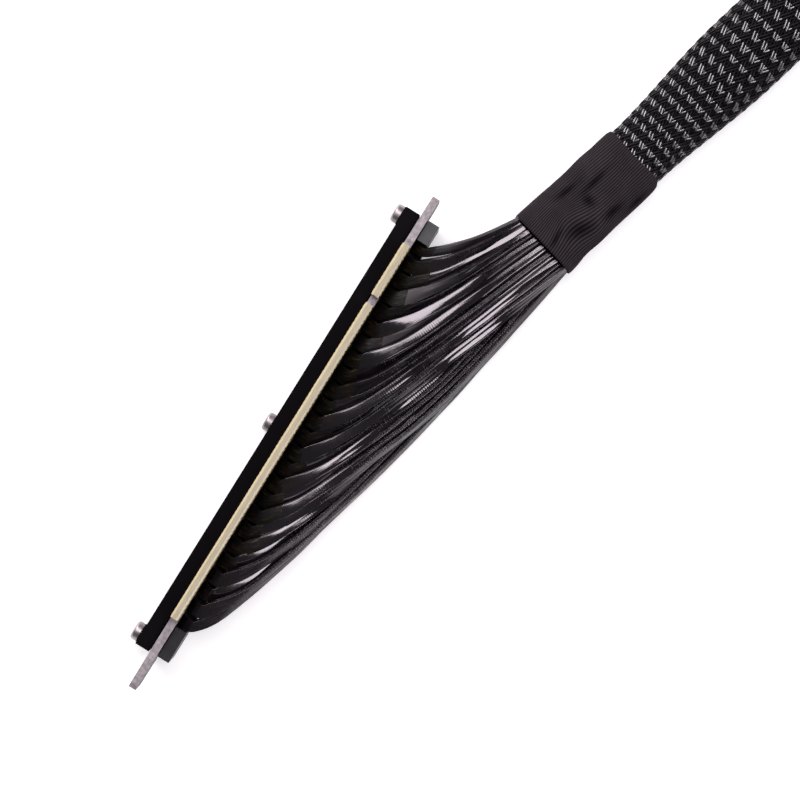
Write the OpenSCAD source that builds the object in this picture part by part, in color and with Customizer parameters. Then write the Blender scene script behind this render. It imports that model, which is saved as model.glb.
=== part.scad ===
// Sleeved riser cable for a x16 expansion slot.
// Millimetres, +Z up. The plug-in board stands on its rear edge with its
// fingers up, X along the board, -Y the side the cables leave from.
// The cable runs towards +X and ends in a board that carries the slot.

/* [Plug-in board] */
// Overall length of the board, ear to ear
board_l = 113.2; // [112.6:0.2:116]
// Thickness of the board
board_t = 1.6; // [1.4:0.1:1.8]
// Height of the board from its rear edge to the shoulder
shoulder_z = 17.5; // [16.5:0.5:20]
// Height of the finger tongue above the shoulder
tongue_h = 8.5; // [8:0.1:9]
// Length of the short finger segment
short_seg = 11.65; // [11.6:0.01:11.7]
// Width of the key notch
key_w = 1.9; // [1.8:0.05:2]
// Length of the long finger segment
long_seg = 71.65; // [71.6:0.01:71.7]
// Where the short segment ends, from the middle of the board
tongue_x = 45.4; // [44.8:0.2:46]

/* [Covers and screws] */
// Length of the outer cover and of the clamp bar
cover_l = 101; // [101:0.5:102]
// Thickness of the outer cover
cover_t = 3.1; // [2.6:0.1:3.6]
// Height of the outer cover
cover_h = 15.5; // [14:0.5:16.5]
// Thickness of the clamp bar
bar_t = 2.5; // [2.2:0.1:3]
// Height of the clamp bar under the cables
bar_h = 7.5; // [7:0.1:7.6]
// Gap between a raised end of the clamp bar and the nearest lane cable
post_gap = 0.35; // [0.3:0.05:0.6]
// Distance between neighbouring screws
screw_pitch = 48.7; // [47.8:0.1:48.7]
// Diameter of a screw head
head_d = 3.9; // [3.6:0.1:4.2]
// Height of a screw head
head_h = 1.5; // [1.3:0.1:1.7]

/* [Cable fan] */
// Width of one flat lane cable
lane_w = 1.9; // [1.6:0.05:1.95]
// Thickness of one flat lane cable
lane_t = 0.95; // [0.8:0.05:0.95]
// Where the first lane cable leaves the board
lane_first_x = 46.45; // [46:0.05:46.45]
// Where the last lane cable leaves the board
lane_last_x = -40.6; // [-41:0.1:-40]

/* [Collar and sleeve] */
// Half width of the tape collar where the fan enters it
collar_w = 7.9; // [7.9:0.1:8.3]
// Half width of the tape collar where the sleeve leaves it
collar_w2 = 7.4; // [7.4:0.1:7.8]
// Half width of the sleeve midway between the collars
sleeve_w = 8.6; // [7.4:0.1:9]

/* [Slot end] */
// Length of the slot board
slot_board_l = 134; // [132:1:140]
// Width of the slot board
slot_board_w = 19; // [18.6:0.2:20]
// Distance between the fixing holes
hole_pitch = 124; // [123.5:0.5:126]
// Diameter of a fixing hole
hole_d = 3.2; // [3:0.1:3.4]
// Length of the slot housing
housing_l = 89; // [88.6:0.2:90]
// Height of the slot housing
housing_h = 11.2; // [11:0.1:11.5]

/* [Hidden] */
$fn = 48;
e = 0.01;

// plug-in board and what is stacked on it
gap_cover = 0.25;
gap_bar = 0.15;
seat_h = 0.3;
bar_out = board_t/2 + gap_bar + bar_t;
cover_in = board_t/2 + gap_cover;
cover_out = cover_in + cover_t;
head_out = cover_out + seat_h + head_h;
y_pcb = (bar_out - head_out)/2;
cover_mid = 1.65;
cover_x0 = cover_mid - cover_l/2;
cover_x1 = cover_mid + cover_l/2;
tip_z = shoulder_z + tongue_h;
tongue_x0 = tongue_x - short_seg - key_w - long_seg;
ear_z = 4;
shoulder_r = 2.4;
screw_z = 4;
end_screw_z = 10;
screw_l = 7;
finger_h = 4.6;
finger_t = 0.05;
finger_w = 0.7;

// cable fan: an upper, a middle and a lower layer, counted from the first lane
lanes = 25;
upper_n = 14;
first_low = upper_n + 5;
lane_gap = 1;
layer_gap = 2.05;
level_gap = 0.65;
// where the rings of a lane lie: from its start, then from the collar
ring_x = [0, 1.5, 4, 7.5, 12, 17];
ring_d = [82, 74, 66, 58, 50, 43, 37, 31, 25, 19, 13, 7, 0];
tail_z = 8;
bend_z = 10.3;
bend_r = 2;
tail_y = y_pcb - board_t/2 - lane_t/2 - 0.1;
lane_y = tail_y - bend_r;
lane_z = bend_z + bend_r;

// where the raised ends of the clamp bar stop short of the last and of the first lane
post_x0 = lane_last_x - lane_w/2 - post_gap;
post_x1 = lane_first_x + lane_w/2 + post_gap;

// collar, sleeve and core: one route, straight, a gentle bend, straight
axis_deg = 14.75;
collar_x = 60.4;
collar_y = -23.8;
core_z = 5.6;
collar_l = 25.3;
bend_x = 121.6;
bend_radius = 80;
mid_x = 142;
ax = [cos(axis_deg), -sin(axis_deg), 0];
ac = [sin(axis_deg), cos(axis_deg), 0];
collar_p = [collar_x, collar_y, core_z];
straight_l = (bend_x - collar_x)/cos(axis_deg);
half_l = straight_l + bend_radius*axis_deg*PI/180;
lane_in = 4;
sleeve_in = 12;
mid_y = collar_y - (bend_x - collar_x)*tan(axis_deg) - bend_radius*(1 - cos(axis_deg));

// slot end
slot_x = 2*mid_x;
base_t = 2.5;
slot_pcb_t = 1.6;
slot_top = base_t + slot_pcb_t;
slot_y0 = lane_y + 2.975;
slot_lane_z = slot_top + lane_t/2 + 0.05;
slot_fan_z = 5.6;
housing_w = 7.5;
housing_y = slot_y0 + 11.4;
slot_w = 1.75;
slot_deep = 9;
wall_pocket = 0.55;
sbar_w = 6.6;
sbar_t = 3;
sbar_y = slot_y0 + 0.6;
sbar_l = 108;
sscrew_pitch = 51;
sscrew_y = sbar_y + 4.95;

// ---------- helpers ----------

// closed tube through rings of points, each ring n points round its tangent
module tube(rings) {
  n = len(rings[0]);
  m = len(rings);
  polyhedron(
    points = [for (r = rings) for (p = r) p],
    faces = concat(
      [[for (j = [0:n-1]) j]],
      [for (k = [0:m-2]) for (j = [0:n-1]) [k*n + j, (k+1)*n + j, k*n + (j+1)%n]],
      [for (k = [0:m-2]) for (j = [0:n-1]) [(k+1)*n + j, (k+1)*n + (j+1)%n, k*n + (j+1)%n]],
      [[for (j = [n-1:-1:0]) (m-1)*n + j]]),
    convexity = 6);
}

// open-ended pipe between an outer and an inner set of rings
module pipe(outer, inner) {
  n = len(outer[0]);
  m = len(outer);
  o = m*n;
  polyhedron(
    points = concat([for (r = outer) for (p = r) p], [for (r = inner) for (p = r) p]),
    faces = concat(
      [for (k = [0:m-2]) for (j = [0:n-1]) [k*n + j, (k+1)*n + j, (k+1)*n + (j+1)%n, k*n + (j+1)%n]],
      [for (k = [0:m-2]) for (j = [0:n-1]) [o + k*n + j, o + k*n + (j+1)%n, o + (k+1)*n + (j+1)%n, o + (k+1)*n + j]],
      [for (j = [0:n-1]) [j, (j+1)%n, o + (j+1)%n, o + j]],
      [for (j = [0:n-1]) [(m-1)*n + j, o + (m-1)*n + j, o + (m-1)*n + (j+1)%n, (m-1)*n + (j+1)%n]]),
    convexity = 8);
}

function unit(v) = v/norm(v);
function soft(t) = let (w = min(1, max(0, t))) w*w*(3 - 2*w);
function side_of(d) = let (h = norm([d[0], d[1]])) h < 0.05 ? [1, 0, 0] : [-d[1]/h, d[0]/h, 0];
// sign-keeping power, for rounded oval outlines
function spow(v, k) = v < 0 ? -pow(-v, k) : pow(v, k);

// a ring of n points about c, across d, with half width a and half height b
function oval(c, d, a, b, n, k = 1) =
  let (s = side_of(d), u = cross(d, s))
  [for (j = [0:n-1]) let (q = 360*j/n) c + a*spow(cos(q), k)*s + b*spow(sin(q), k)*u];

// outline of a flat lane cable, as shares of its width and of its thickness
lane_rim = [[0.5, -0.2], [0.5, 0.2], [0.34, 0.5], [-0.34, 0.5], [-0.5, 0.2], [-0.5, -0.2], [-0.34, -0.5], [0.34, -0.5]];
// flat rings along points [x, y, z, twist], each across the direction of its neighbours
function flat_run(p) =
  [for (i = [0:len(p)-1])
    let (v = p[min(i+1, len(p)-1)] - p[max(i-1, 0)], d = unit([v[0], v[1], v[2]]), w = p[i][3],
         s = side_of(d), u = cross(d, s), sw = cos(w)*s + sin(w)*u, ut = cos(w)*u - sin(w)*s)
    [for (q = lane_rim) [p[i][0], p[i][1], p[i][2]] + lane_w*q[0]*sw + lane_t*q[1]*ut]];

// the far end repeats the fan and collar in a mirror
module far() { translate([2*mid_x, 0, 0]) mirror([1, 0, 0]) children(); }

// rounded rectangle from its low and high corners
module rrect(x0, y0, x1, y1, r) {
  translate([x0 + r, y0]) square([x1 - x0 - 2*r, y1 - y0]);
  translate([x0, y0 + r]) square([x1 - x0, y1 - y0 - 2*r]);
  for (x = [x0 + r, x1 - r], y = [y0 + r, y1 - r]) translate([x, y]) circle(r);
}

// an outline drawn in X and Z, given a thickness along Y from y0 to y1
module upright(y0, y1) { translate([0, y1, 0]) rotate([90, 0, 0]) linear_extrude(y1 - y0) children(); }

// ---------- plug-in board ----------

function screw_x(i) = cover_mid + (i - 1)*screw_pitch;
// the middle screw sits low, under the cables, and the end screws midway up the raised ends
function screw_at(i) = i == 1 ? screw_z : end_screw_z;

// hollow corner between the tongue's end and the shoulder, towards +X
module shoulder_corner() {
  difference() {
    translate([-1, -1]) square([shoulder_r + 1, shoulder_r + 1]);
    translate([shoulder_r, shoulder_r]) circle(shoulder_r);
  }
}

module card_board() {
  color([0.82, 0.77, 0.62])
  difference() {
    upright(y_pcb - board_t/2, y_pcb + board_t/2) {
      translate([cover_x0 + 2, 0]) square([cover_l - 4, shoulder_z]);
      rrect(-board_l/2, ear_z, board_l/2, shoulder_z, 1.4);
      translate([tongue_x0, shoulder_z - 1]) square([long_seg, tongue_h + 1]);
      translate([tongue_x - short_seg, shoulder_z - 1]) square([short_seg, tongue_h + 1]);
      translate([tongue_x, shoulder_z]) shoulder_corner();
      translate([tongue_x0, shoulder_z]) mirror([1, 0]) shoulder_corner();
    }
    // the finger edge is bevelled on both faces
    for (m = [0, 1]) translate([0, y_pcb, 0]) mirror([0, m, 0]) translate([-60, 0, 0]) rotate([90, 0, 90])
      linear_extrude(120) polygon([[board_t/2 - 0.4, tip_z + e], [board_t/2 + 1, tip_z + e], [board_t/2 + 1, tip_z - 1.1 - e], [board_t/2, tip_z - 1.1]]);
    for (i = [0:2]) translate([screw_x(i), y_pcb, screw_at(i)]) rotate([90, 0, 0]) cylinder(h = 4, r = 1.15, center = true);
  }
}

// one row of contacts on a face of the tongue
module finger_row(y0) {
  for (i = [0:10]) translate([tongue_x - 0.82 - i - finger_w/2, y0, tip_z - 1.3 - finger_h]) cube([finger_w, finger_t, finger_h]);
  for (i = [0:70]) translate([tongue_x0 + 0.82 + i - finger_w/2, y0, tip_z - 1.3 - finger_h]) cube([finger_w, finger_t, finger_h]);
}
module contacts_cable_side() { color([0.86, 0.66, 0.3]) finger_row(y_pcb - board_t/2 - finger_t); }
module contacts_cover_side() { color([0.86, 0.66, 0.3]) finger_row(y_pcb + board_t/2); }

module outer_cover() {
  color([0.06, 0.05, 0.06])
  difference() {
    union() {
      translate([cover_x0, y_pcb + cover_in, 0]) cube([cover_l, cover_t, cover_h]);
      for (i = [0:2]) translate([screw_x(i), y_pcb + cover_out - 0.5, screw_at(i)]) rotate([-90, 0, 0]) cylinder(h = 0.5 + seat_h, r = head_d/2 + 0.1);
    }
    for (i = [0:2]) translate([screw_x(i), y_pcb, screw_at(i)]) rotate([-90, 0, 0]) cylinder(h = 8, r = 1.15);
  }
}

module clamp_bar() {
  color([0.12, 0.11, 0.12])
  difference() {
    upright(y_pcb - bar_out, y_pcb - bar_out + bar_t) {
      translate([cover_x0, 0]) square([cover_l, bar_h]);
      translate([cover_x0, 0]) square([post_x0 - cover_x0, cover_h - 1]);
      translate([post_x1, 0]) square([cover_x1 - post_x1, cover_h - 1]);
    }
    for (i = [0:2]) translate([screw_x(i), y_pcb, screw_at(i)]) rotate([90, 0, 0]) cylinder(h = board_t/2 + gap_bar + bar_t - 0.5, r = 1.03);
  }
}

// pan-head screw standing on its axis, tip down, seat at z = 0
module pan_screw(l) {
  rotate_extrude() {
    translate([0, -l]) square([1, l + e]);
    square([head_d/2, head_h - 0.6]);
    square([head_d/2 - 0.6, head_h]);
    intersection() {
      translate([head_d/2 - 0.6, head_h - 0.6]) circle(0.6);
      square([head_d, head_h]);
    }
  }
}
module drive(l) {
  difference() {
    pan_screw(l);
    translate([0, 0, head_h]) for (a = [0, 90]) rotate(a) cube([2.1, 0.5, 1.7], center = true);
  }
}

module cover_screws() {
  color([0.75, 0.73, 0.72])
  for (i = [0:2]) translate([screw_x(i), y_pcb + cover_out + seat_h, screw_at(i)]) rotate([-90, 0, 0]) drive(screw_l);
}

// ---------- cable fan ----------

function lane_x(i) = lane_first_x + (lane_last_x - lane_first_x)*i/(lanes - 1);
// where lane i starts: how far before the collar's mouth, and how far across the collar's axis
function start_d(i) = -([lane_x(i), lane_y, core_z] - collar_p)*ax;
function start_a(i) = ([lane_x(i), lane_y, core_z] - collar_p)*ac;
// place of lane i in the collar's mouth
function end_a(i) = i < upper_n ? 6.5 - i*lane_gap : i < first_low ? -2.5 - (i - upper_n)*lane_gap : -1.5 - (i - first_low)*lane_gap;
function end_z(i) = core_z + (i < upper_n ? layer_gap : i < first_low ? 0 : -layer_gap);

// a lane leaves its board at a slant and swings over towards the collar
function drop(x) = 3.6*(1 - exp(-x/6));
// the fan's outer edge is bowed, and the middle and lower lanes gather along it
function guide(i, d) =
  let (g = i < first_low ? end_a(i) : -6.9 + 1.05*floor((lanes - 1 - i)/2))
  g + (end_a(i) - g)*soft((42 - d)/22) - 3.95*(1 - pow((d - 70)/70, 2));
function larger(p, q) = (p + q + sqrt((p - q)*(p - q) + 1.44))/2;
function swing(i, d) = let (x = start_d(i) - d) larger(start_a(i) - drop(x) - 0.105*x, guide(i, d));
// how far lane i lies across the collar's axis, at distance d before its mouth
function across(i, d) =
  let (d0 = start_d(i), x = d0 - d, a0 = start_a(i))
  i < upper_n ? a0 - drop(x) - (a0 - drop(d0) - end_a(i))*x/d0
  : swing(i, d) - (swing(i, d0) - a0)*(1 - soft(x/12)) - (swing(i, 0) - end_a(i))*soft((25 - d)/25);

// a fan is set out by the height where it starts, the height of its upper layer midway and the share of the way
// to there, the share of the way in which the lower layer sinks, the length of the twist, and the lift of the
// first lower lane
board_fan = [lane_z, core_z + layer_gap, 1, 0.36, 19, -0.2];
slot_fan = [slot_fan_z, 9.2, 0.6, 0.25, 15, -0.9];
// every other lane starts a little higher
function lift(i, f) = i == first_low ? f[5] : i%2 == 1 ? level_gap : -level_gap;
function height(i, d, f) =
  let (t = 1 - d/start_d(i), z1 = end_z(i), zl = i >= first_low && i%2 == 0 ? 1.3 : z1)
  i < upper_n ? f[0] + (f[1] - f[0])*soft(t/f[2]) + (z1 - f[1])*soft((t - 0.6)/0.4) + lift(i, f)*(1 - soft((t - 0.45)/0.5))
  : f[0] + (zl - f[0])*soft(t/(i < first_low ? 0.5 : f[3])) + lift(i, f)*(1 - soft(t/0.5)) + (z1 - zl)*soft((24 - d)/20);
// flat where it leaves its board, on edge well before the collar
function twist(i, d, f) = let (d0 = start_d(i)) 90*soft(((d0 - d)/min(f[4], 0.85*d0) - 0.2)/0.8);
// a point [x, y, z, twist] of lane i
function lane_at(i, d, f) =
  let (p = collar_p - d*ax + across(i, d)*ac)
  [p[0], p[1], height(i, d, f), twist(i, d, f)];
function ring_list(i) = let (d0 = start_d(i))
  concat([for (x = ring_x) if (x < d0 - 4) d0 - x], [for (d = ring_d) if (d == 0 || d < d0 - 20) d]);
function fan(i, f) = concat([for (d = ring_list(i)) lane_at(i, d, f)], [lane_at(i, 0, f) + concat((lane_in - 0.02)*ax, [0])]);

// from the board face: up the face, out over the bar, then into the collar
function board_lane(i) = let (v = lift(i, board_fan)) concat(
  [[lane_x(i), tail_y, tail_z, 0], [lane_x(i), tail_y, bend_z + v, 0],
   [lane_x(i), tail_y - bend_r*(1 - cos(45)), bend_z + v + bend_r*sin(45), 0]],
  fan(i, board_fan));
// at the slot end the lanes lie flat on the board under the bar, and part past its edge
function slot_lane(i) = concat(
  [[lane_x(i), slot_y0 + 4, slot_lane_z, 0], [lane_x(i), slot_y0 - 0.3, slot_lane_z, 0]],
  fan(i, slot_fan));

upper_i = [0:upper_n-1];
middle_i = [upper_n:first_low-1];
lower_i = [first_low:lanes-1];
module board_lanes(list) { for (i = list) tube(flat_run(board_lane(i))); }
module slot_lanes(list) { far() for (i = list) tube(flat_run(slot_lane(i))); }

module board_lanes_upper() { color([0.09, 0.08, 0.09]) board_lanes(upper_i); }
module board_lanes_middle() { color([0.11, 0.1, 0.11]) board_lanes(middle_i); }
module board_lanes_lower() { color([0.09, 0.08, 0.09]) board_lanes(lower_i); }
module slot_lanes_upper() { color([0.09, 0.08, 0.09]) slot_lanes(upper_i); }
module slot_lanes_middle() { color([0.11, 0.1, 0.11]) slot_lanes(middle_i); }
module slot_lanes_lower() { color([0.09, 0.08, 0.09]) slot_lanes(lower_i); }

// ---------- collars, sleeve and core ----------

// point and direction on the route, s from the first collar's mouth to mid length
function half_at(s) = s <= straight_l ? collar_p + s*ax :
  let (g = axis_deg - (s - straight_l)/bend_radius*180/PI)
  [mid_x - bend_radius*sin(g), mid_y + bend_radius*(1 - cos(g)), core_z];
function half_dir(s) = s <= straight_l ? ax :
  let (g = axis_deg - (s - straight_l)/bend_radius*180/PI) [cos(g), -sin(g), 0];
function whole_at(s) = s <= half_l ? half_at(s) : let (p = half_at(2*half_l - s)) [2*mid_x - p[0], p[1], p[2]];
function whole_dir(s) = s <= half_l ? half_dir(s) : let (d = half_dir(2*half_l - s)) [d[0], -d[1], 0];
function at_s(s, a, b, n, k) = oval(whole_at(s), whole_dir(s), a, b, n, k);

// half width and half height of the sleeve, fuller in the middle of its run
function swell(s) = soft((min(s, 2*half_l - s) - collar_l)/30);
function sleeve_a(s) = 6.85 + (sleeve_w - 6.85)*swell(s);
function sleeve_b(s) = 4.85 + 0.75*swell(s);
sleeve_s = [for (i = [0:14]) let (s = collar_l - sleeve_in + (2*half_l - 2*collar_l + 2*sleeve_in)*i/14) s];
core_s = concat([lane_in, lane_in + 5], [for (i = [0:10]) collar_l - sleeve_in + (2*half_l - 2*collar_l + 2*sleeve_in)*i/10],
                [2*half_l - lane_in - 5, 2*half_l - lane_in]);
function core_a(s) = min(s, 2*half_l - s) < lane_in + 1 ? 7.35 : 6.1;
function core_b(s) = min(s, 2*half_l - s) < lane_in + 1 ? 4.4 : 4;

module collar() {
  pipe([for (q = [0:4]) at_s(q*collar_l/4, collar_w + (collar_w2 - collar_w)*q/4, 5.2, 16, 0.55)],
       [for (q = [0:4]) at_s(q*collar_l/4, collar_w + (collar_w2 - collar_w)*q/4 - 0.35, 4.9, 16, 0.55)]);
}
module board_collar() { color([0.19, 0.18, 0.19]) collar(); }
module slot_collar() { color([0.19, 0.18, 0.19]) far() collar(); }

module braided_sleeve() {
  color([0.15, 0.15, 0.16])
  pipe([for (s = sleeve_s) at_s(s, sleeve_a(s), sleeve_b(s), 12, 0.92)],
       [for (s = sleeve_s) at_s(s, sleeve_a(s) - 0.5, sleeve_b(s) - 0.5, 12, 0.92)]);
}

module cable_core() {
  color([0.08, 0.08, 0.08])
  tube([for (s = core_s) at_s(s, core_a(s), core_b(s), 12, 0.8)]);
}

// ---------- slot end ----------

function sscrew_x(i) = slot_x + (i - 1)*sscrew_pitch;

module slot_board() {
  color([0.05, 0.06, 0.05])
  translate([0, 0, base_t])
  difference() {
    linear_extrude(slot_pcb_t) rrect(slot_x - slot_board_l/2, slot_y0, slot_x + slot_board_l/2, slot_y0 + slot_board_w, 2);
    for (x = [-1, 1]) translate([slot_x + x*hole_pitch/2, slot_y0 + slot_board_w/2, -1]) cylinder(h = 5, r = hole_d/2);
    for (i = [0:2]) translate([sscrew_x(i), sscrew_y, -1]) cylinder(h = 5, r = 1.15);
  }
}

module slot_base() {
  color([0.07, 0.07, 0.08])
  difference() {
    translate([slot_x - 55, slot_y0 + 0.5, 0]) cube([110, slot_board_w - 1, base_t]);
    // room for the slot's soldered tails
    translate([slot_x - 44, housing_y - 3, 0.8]) cube([88, 6, base_t]);
    for (i = [0:2]) translate([sscrew_x(i), sscrew_y, 0.4]) cylinder(h = 5, r = 1.03);
  }
}

// one cell of the slot, from x0 along its length
module slot_cell(x0, l) {
  translate([x0, housing_y - slot_w/2, slot_top + housing_h - slot_deep]) cube([l, slot_w, slot_deep + 1]);
  // lead-in at the mouth
  translate([x0, housing_y, slot_top + housing_h]) rotate([90, 0, 90]) linear_extrude(l)
    polygon([[-slot_w/2 - 0.6, 0.1], [slot_w/2 + 0.6, 0.1], [slot_w/2, -0.7], [-slot_w/2, -0.7]]);
}
slot_x0 = slot_x - (short_seg + key_w + long_seg)/2 - 0.2;
// places of the contacts along the slot, on the same pitch as the fingers
contact_x = concat([for (i = [0:70]) slot_x0 + 0.2 + 0.82 + i],
                   [for (i = [0:10]) slot_x0 + 0.2 + long_seg + key_w + short_seg - 0.82 - i]);

module slot_housing() {
  color([0.06, 0.06, 0.07])
  difference() {
    translate([slot_x - housing_l/2, housing_y - housing_w/2, slot_top]) cube([housing_l, housing_w, housing_h]);
    slot_cell(slot_x0, long_seg + 0.25);
    slot_cell(slot_x0 + 0.2 + long_seg + key_w - 0.05, short_seg + 0.25);
    for (x = contact_x) translate([x - 0.3, housing_y - slot_w/2 - wall_pocket, slot_top - 1]) cube([0.6, slot_w + 2*wall_pocket, housing_h - 0.3]);
  }
}

// a row of spring contacts, standing in the pockets, each with a raised pad
module contact_row(m) {
  for (x = contact_x) translate([x - 0.25, housing_y, slot_top]) mirror([0, m, 0]) {
    translate([0, slot_w/2 + 0.1, 0.05]) cube([0.5, 0.3, housing_h - 1.6]);
    translate([0, slot_w/2 - 0.3, housing_h - 4.2]) cube([0.5, 0.5, 1.2]);
  }
}
module slot_contacts_front() { color([0.85, 0.65, 0.3]) contact_row(1); }
module slot_contacts_rear() { color([0.85, 0.65, 0.3]) contact_row(0); }

module slot_clamp_bar() {
  color([0.12, 0.11, 0.12])
  difference() {
    translate([slot_x - sbar_l/2, sbar_y, slot_top]) cube([sbar_l, sbar_w, sbar_t]);
    // channel for the flat ends of the lane cables
    translate([slot_x - lane_first_x - 2, sbar_y - 1, slot_top - 1]) cube([lane_first_x - lane_last_x + 4, 4.6, 1 + lane_t + 0.3]);
    for (i = [0:2]) translate([sscrew_x(i), sscrew_y, slot_top - 1]) cylinder(h = 8, r = 1.15);
  }
}

module slot_screws() {
  color([0.75, 0.73, 0.72])
  for (i = [0:2]) translate([sscrew_x(i), sscrew_y, slot_top + sbar_t]) drive(6);
}

// ---------- drawing ----------

card_board();
contacts_cable_side();
contacts_cover_side();
outer_cover();
clamp_bar();
cover_screws();
board_lanes_upper();
board_lanes_middle();
board_lanes_lower();
board_collar();
braided_sleeve();
cable_core();
slot_collar();
slot_lanes_upper();
slot_lanes_middle();
slot_lanes_lower();
slot_board();
slot_housing();
slot_contacts_front();
slot_contacts_rear();
slot_base();
slot_clamp_bar();
slot_screws();
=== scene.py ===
import bpy
import bmesh
import math
import numpy as np
from mathutils import Matrix


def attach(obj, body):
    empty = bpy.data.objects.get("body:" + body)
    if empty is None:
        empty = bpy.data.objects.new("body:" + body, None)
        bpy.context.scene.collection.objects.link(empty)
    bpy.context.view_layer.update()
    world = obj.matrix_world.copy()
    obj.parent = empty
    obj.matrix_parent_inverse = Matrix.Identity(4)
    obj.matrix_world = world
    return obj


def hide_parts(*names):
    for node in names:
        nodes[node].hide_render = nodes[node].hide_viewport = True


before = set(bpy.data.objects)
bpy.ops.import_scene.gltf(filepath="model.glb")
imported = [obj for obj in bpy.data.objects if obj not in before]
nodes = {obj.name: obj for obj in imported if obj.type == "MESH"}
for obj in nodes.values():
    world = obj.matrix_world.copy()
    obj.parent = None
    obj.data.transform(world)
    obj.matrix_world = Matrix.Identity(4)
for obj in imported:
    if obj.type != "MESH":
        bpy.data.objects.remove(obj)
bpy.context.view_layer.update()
scene = bpy.context.scene
MM = 0.001
rng = np.random.default_rng(7)


# ---------------------------------------------------------------- camera
# straight down on the finger edge, 600 mm above it, rolled so that the board runs up to the right
cam_data = bpy.data.cameras.new("camera")
cam_data.sensor_width = 36.0
cam_data.lens = 139.86
cam_data.clip_start = 0.02
cam_data.clip_end = 30.0
cam = bpy.data.objects.new("camera", cam_data)
scene.collection.objects.link(cam)
roll = math.atan2(0.849, 0.528)
cr, sr = math.cos(roll), math.sin(roll)
cam.matrix_world = Matrix(((cr, sr, 0, 0.0192), (-sr, cr, 0, -0.01605), (0, 0, 1, 0.626), (0, 0, 0, 1)))
scene.camera = cam


# ---------------------------------------------------------------- helpers
def soft(t):
    w = np.clip(t, 0.0, 1.0)
    return w * w * (3 - 2 * w)


def unit(v):
    return v / np.linalg.norm(v, axis=-1, keepdims=True)


def spow(v, k):
    return np.sign(v) * np.abs(v) ** k


def make_object(name, verts, faces, mats, mat_index=None, smooth=True, floats=None):
    """A mesh object from vertices in mm, quads or triangles, materials and per-vertex numbers."""
    me = bpy.data.meshes.new(name)
    me.from_pydata((np.asarray(verts) * MM).tolist(), [], [list(f) for f in faces])
    for m in mats:
        me.materials.append(m)
    if mat_index is not None:
        me.polygons.foreach_set("material_index", np.asarray(mat_index, np.int32))
    me.polygons.foreach_set("use_smooth", np.full(len(me.polygons), bool(smooth)))
    for key, values in (floats or {}).items():
        a = me.attributes.new(key, "FLOAT", "POINT")
        a.data.foreach_set("value", np.asarray(values, np.float32).ravel())
    me.update()
    ob = bpy.data.objects.new(name, me)
    scene.collection.objects.link(ob)
    return ob


def grid_faces(m, n, start=0, closed=True):
    """Quads between m rings of n points."""
    k = np.arange(m - 1)[:, None]
    j = np.arange(n if closed else n - 1)[None, :]
    a = start + k * n + j
    b = start + k * n + (j + 1) % n
    return np.stack([a, b, b + n, a + n], -1).reshape(-1, 4)


def own(ob, slot_name, *replaced):
    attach(ob, "root")
    if replaced:
        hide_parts(*replaced)
    return ob


def refined(node, material, slot_name, bevel=0.0, angle=32.0, segments=2):
    """A copy of a CAD node with welded vertices, smooth curved faces and softened edges."""
    src = nodes[node].data
    me = bpy.data.meshes.new(node + "_finish")
    bm = bmesh.new()
    bm.from_mesh(src)
    bmesh.ops.remove_doubles(bm, verts=bm.verts, dist=2e-6)
    bmesh.ops.dissolve_limit(bm, angle_limit=0.01, verts=bm.verts, edges=bm.edges)
    lim = math.radians(angle)
    for e in bm.edges:
        e.smooth = len(e.link_faces) == 2 and e.calc_face_angle(0.0) < lim
    for f in bm.faces:
        f.smooth = True
    bm.to_mesh(me)
    bm.free()
    me.materials.append(material)
    ob = bpy.data.objects.new(node + "_finish", me)
    scene.collection.objects.link(ob)
    if bevel:
        md = ob.modifiers.new("edges", "BEVEL")
        md.width = bevel * MM
        md.segments = segments
        md.limit_method = "ANGLE"
        md.angle_limit = lim
        md.use_clamp_overlap = True
        md.harden_normals = False
        md.miter_outer = "MITER_ARC"
    return own(ob, slot_name, node)


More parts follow.
